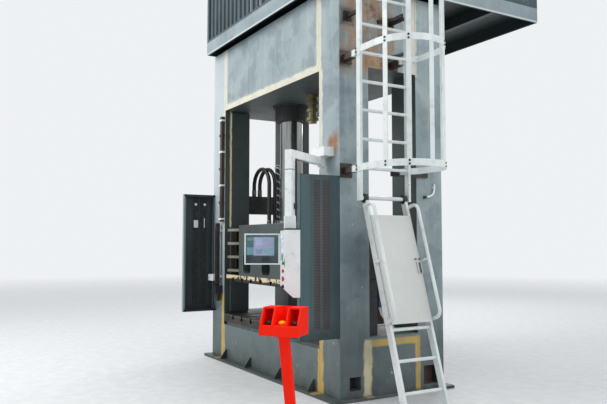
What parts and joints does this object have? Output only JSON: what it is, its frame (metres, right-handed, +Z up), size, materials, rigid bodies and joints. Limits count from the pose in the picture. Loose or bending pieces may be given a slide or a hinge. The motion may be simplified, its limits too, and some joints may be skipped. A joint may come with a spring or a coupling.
{
  "type": "hydraulic_press",
  "caption": "Four-post hydraulic press with T-slot table and slide, caged ladder, top platform, pendant and two-hand console",
  "frame": {"origin": "centre of the press frame's footprint on the floor, under the middle of the table", "axes": "+Z up; the open front faces -Y; the caged ladder is on the +X side"},
  "size_m": [4.148, 3.8788, 5.3103],
  "materials": {
    "frame_paint": "satin blue-grey enamel, stained and mottled, with cream putty at the joints",
    "guard_paint": "slate teal enamel",
    "deck_paint": "light steel-blue enamel",
    "table_steel": "machined and lightly oiled",
    "dark_steel": "dark machined casting",
    "chrome": "hard chrome, polished",
    "bronze": "oiled bronze",
    "white_paint": "semi-gloss off-white powder coat",
    "black_rubber": "matte black",
    "duct_brown": "matte dark brown",
    "console_red": "gloss signal red",
    "button_green": "gloss green",
    "stop_yellow": "gloss yellow",
    "clear_cover": "clear polished sheet",
    "screen_face": "smooth lit display"
  },
  "bodies": {
    "frame": {"post_front_left": "frame_paint", "post_front_right": "frame_paint", "post_back_left": "frame_paint", "post_back_right": "frame_paint", "crown": "frame_paint", "bed": "frame_paint", "table_plate": "table_steel", "base_plate": "frame_paint", "cylinder_left": "dark_steel", "cylinder_right": "dark_steel", "stop_cylinder": "bronze", "guard_left": "guard_paint", "guard_right": "guard_paint", "platform_deck": "deck_paint", "screen_front": "guard_paint", "screen_back": "guard_paint", "screen_left": "guard_paint", "screen_right_back": "guard_paint", "oil_tank": "deck_paint", "pump_motor_left": "frame_paint", "pump_motor_right": "frame_paint", "valve_block": "table_steel", "ladder_upper": "white_paint", "ladder_cage": "white_paint", "pivot_bar": "white_paint", "arm_bracket": "white_paint", "hose_box_front": "black_rubber", "hose_box_back": "black_rubber", "cable_duct": "duct_brown", "light_curtain_left": "black_rubber", "light_curtain_right": "black_rubber", "air_unit": "black_rubber", "junction_box": "black_rubber", "console_pedestal": "console_red", "console_tray": "console_red"},
    "slide": {"slide_body": "frame_paint", "slide_plate": "table_steel", "guide_shoe_front_left": "bronze", "guide_shoe_front_right": "bronze", "guide_shoe_back_left": "bronze", "guide_shoe_back_right": "bronze", "rod_left": "chrome", "rod_right": "chrome", "hose_1": "black_rubber", "hose_2": "black_rubber", "spiral_hose": "black_rubber"},
    "leaning_ladder": {"ladder_lower": "white_paint"},
    "ladder_plate": {"ladder_cover": "white_paint"},
    "arm": {"swing_arm": "white_paint"},
    "pendant": {"control_box": "white_paint", "touch_screen": "screen_face"},
    "screen_cover": {"clear_cover_frame": "white_paint", "clear_cover_pane": "clear_cover"},
    "start_push": {"start_button": "button_green"},
    "stop_push": {"stop_button": "console_red"},
    "emergency_push": {"emergency_stop": "console_red"},
    "selector_knob": {"mode_selector": "black_rubber"},
    "palm_left": {"palm_button_left": "black_rubber"},
    "palm_right": {"palm_button_right": "black_rubber"},
    "console_push": {"console_stop": "stop_yellow"}
  },
  "joints": [
    {"name": "slide_travel", "type": "slide", "parent": "frame", "child": "slide", "axis": [0, 0, 1], "range_m": [-0.3, 0.6], "deforming": ["hose_1", "hose_2", "spiral_hose"]},
    {"name": "ladder_pivot", "type": "hinge", "parent": "frame", "child": "leaning_ladder", "pos_m": [1.815, -0.295, 1.955], "axis": [0, -1, 0], "range_deg": [0, 30]},
    {"name": "ladder_plate_hinge", "type": "hinge", "parent": "leaning_ladder", "child": "ladder_plate", "pos_m": [1.91244, -0.525, 1.78611], "axis": [0.2924, 0, -0.9563], "range_deg": [0, 75]},
    {"name": "arm_swing", "type": "hinge", "parent": "frame", "child": "arm", "pos_m": [1.36, -0.73, 2.335], "axis": [0, 0, 1], "range_deg": [-50, 0]},
    {"name": "pendant_turn", "type": "hinge", "parent": "arm", "child": "pendant", "pos_m": [1.73443, -1.30002, 1.64], "axis": [0, 0, 1], "range_deg": [0, 90]},
    {"name": "screen_cover_hinge", "type": "hinge", "parent": "pendant", "child": "screen_cover", "pos_m": [1.45878, -1.25534, 1.605], "axis": [0, 0, 1], "range_deg": [-15, 96]},
    {"name": "start_press", "type": "slide", "parent": "pendant", "child": "start_push", "axis": [0.4067, 0.9135, 0], "range_m": [0, 0.004], "stiffness_N_per_m": 400, "springref_m": -0.002},
    {"name": "stop_press", "type": "slide", "parent": "pendant", "child": "stop_push", "axis": [0.4067, 0.9135, 0], "range_m": [0, 0.004], "stiffness_N_per_m": 400, "springref_m": -0.002},
    {"name": "emergency_press", "type": "slide", "parent": "pendant", "child": "emergency_push", "axis": [0.4067, 0.9135, 0], "range_m": [0, 0.004], "stiffness_N_per_m": 400, "springref_m": -0.002},
    {"name": "selector_turn", "type": "hinge", "parent": "pendant", "child": "selector_knob", "pos_m": [1.89507, -1.44816, 1.151], "axis": [0.4067, 0.9135, 0], "range_deg": [-45, 45]},
    {"name": "palm_press_left", "type": "slide", "parent": "frame", "child": "palm_left", "axis": [0, 0, -1], "range_m": [0, 0.008], "stiffness_N_per_m": 600, "springref_m": -0.008},
    {"name": "palm_press_right", "type": "slide", "parent": "frame", "child": "palm_right", "axis": [0, 0, -1], "range_m": [0, 0.008], "stiffness_N_per_m": 600, "springref_m": -0.008},
    {"name": "console_press", "type": "slide", "parent": "frame", "child": "console_push", "axis": [0, 0, -1], "range_m": [0, 0.008], "stiffness_N_per_m": 600, "springref_m": -0.008}
  ]
}
